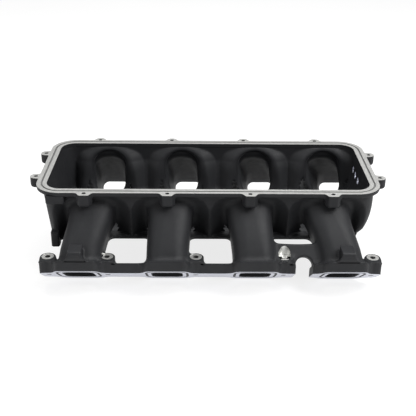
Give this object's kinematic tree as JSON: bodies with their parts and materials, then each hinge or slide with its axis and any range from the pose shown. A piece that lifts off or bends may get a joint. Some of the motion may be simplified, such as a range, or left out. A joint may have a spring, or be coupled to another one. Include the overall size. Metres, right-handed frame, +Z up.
{
  "type": "intake manifold",
  "caption": "Open-topped cast intake manifold base for a V8: a plenum box with a machined rail, and angled runners down to a port flange on each side.",
  "frame": {"origin": "middle of the bounding box in plan, at the level of the lowest flange edges", "axes": "+X along the engine, +Y towards the rear bank in the staggered pair, +Z up out of the open plenum"},
  "size_m": [0.4752, 0.2972, 0.1257],
  "materials": {
    "cast_black": "black powder coat on a sand-cast skin, with bare machined faces on the rail, the port flanges and the bolt seats",
    "seal_rubber": "matt black moulded rubber"
  },
  "bodies": {
    "root": {"plenum_floor": "cast_black", "end_wall_left": "cast_black", "end_wall_right": "cast_black", "bay_front_1": "cast_black", "bay_front_2": "cast_black", "bay_front_3": "cast_black", "bay_front_4": "cast_black", "bay_rear_1": "cast_black", "bay_rear_2": "cast_black", "bay_rear_3": "cast_black", "bay_rear_4": "cast_black", "rail_front": "cast_black", "rail_rear": "cast_black", "rail_left": "cast_black", "rail_right": "cast_black", "port_flange_front": "cast_black", "port_flange_front_end": "cast_black", "runner_front_1": "cast_black", "port_seal_front_1": "seal_rubber", "runner_front_2": "cast_black", "port_seal_front_2": "seal_rubber", "runner_front_3": "cast_black", "port_seal_front_3": "seal_rubber", "runner_front_4": "cast_black", "port_seal_front_4": "seal_rubber", "bolt_boss_front_1": "cast_black", "bolt_boss_front_2": "cast_black", "bolt_boss_front_3": "cast_black", "bolt_boss_front_4": "cast_black", "bolt_boss_front_5": "cast_black", "bridge_web": "cast_black", "port_flange_rear": "cast_black", "runner_rear_1": "cast_black", "port_seal_rear_1": "seal_rubber", "runner_rear_2": "cast_black", "port_seal_rear_2": "seal_rubber", "runner_rear_3": "cast_black", "port_seal_rear_3": "seal_rubber", "runner_rear_4": "cast_black", "port_seal_rear_4": "seal_rubber", "bolt_boss_rear_1": "cast_black", "bolt_boss_rear_2": "cast_black", "bolt_boss_rear_3": "cast_black", "bolt_boss_rear_4": "cast_black", "bolt_boss_rear_5": "cast_black"}
  },
  "joints": []
}
